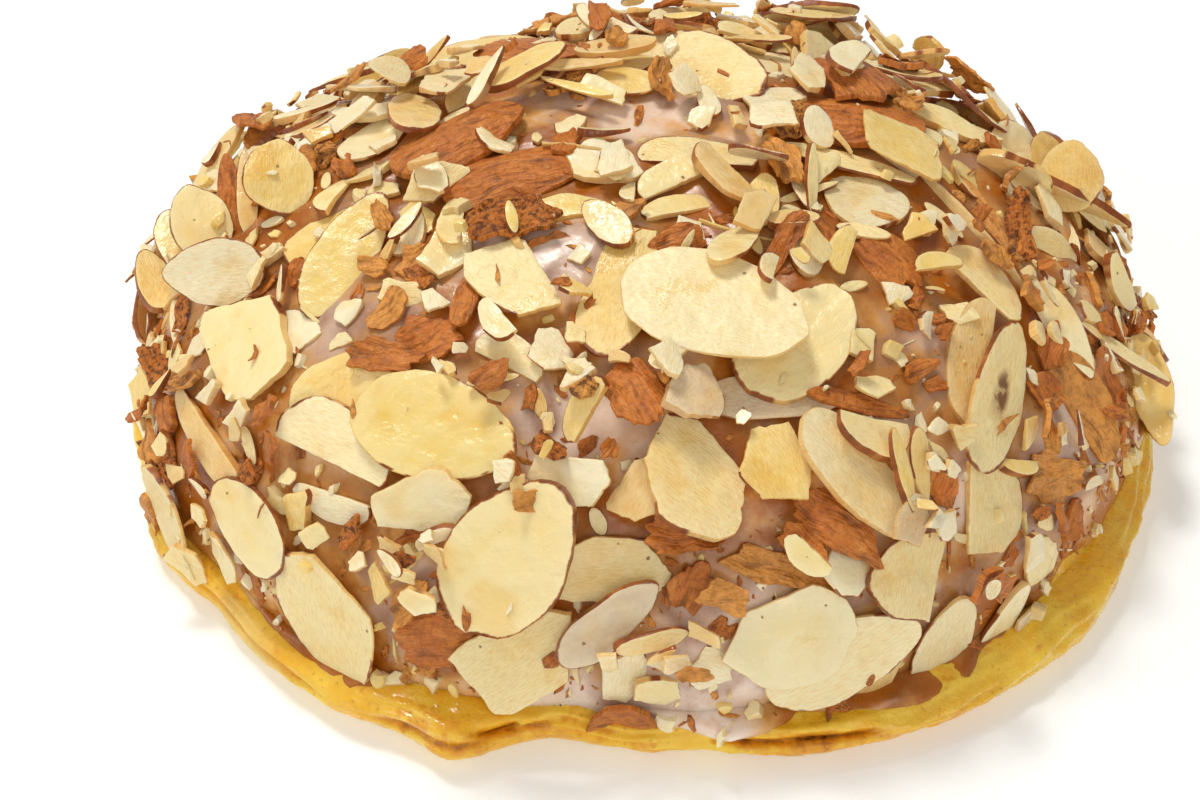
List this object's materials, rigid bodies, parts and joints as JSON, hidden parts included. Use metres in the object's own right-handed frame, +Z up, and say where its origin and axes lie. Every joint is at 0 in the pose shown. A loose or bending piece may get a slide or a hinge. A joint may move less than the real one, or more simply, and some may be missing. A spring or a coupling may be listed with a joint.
{
  "type": "bear claw pastry",
  "caption": "Domed oval bear claw pastry with a golden crust, thin icing and a rough cover of sliced almonds.",
  "frame": {"origin": "middle of the flat base, on the surface that the pastry stands on", "axes": "+Z up, X along the long side, -Y towards the front edge"},
  "size_m": [0.1268, 0.1067, 0.0432],
  "materials": {
    "baked_pastry": "egg-washed baked crust, golden with browned patches and a pale lower edge",
    "icing": "thin set sugar icing, translucent lilac-grey where thick, glossy",
    "almond_kernel": "sliced blanched almond, cream to yellow, waxy with fine grain",
    "almond_skin": "wrinkled reddish-brown almond skin, dry"
  },
  "bodies": {
    "root": {"bear_claw": "baked_pastry"}
  },
  "joints": []
}
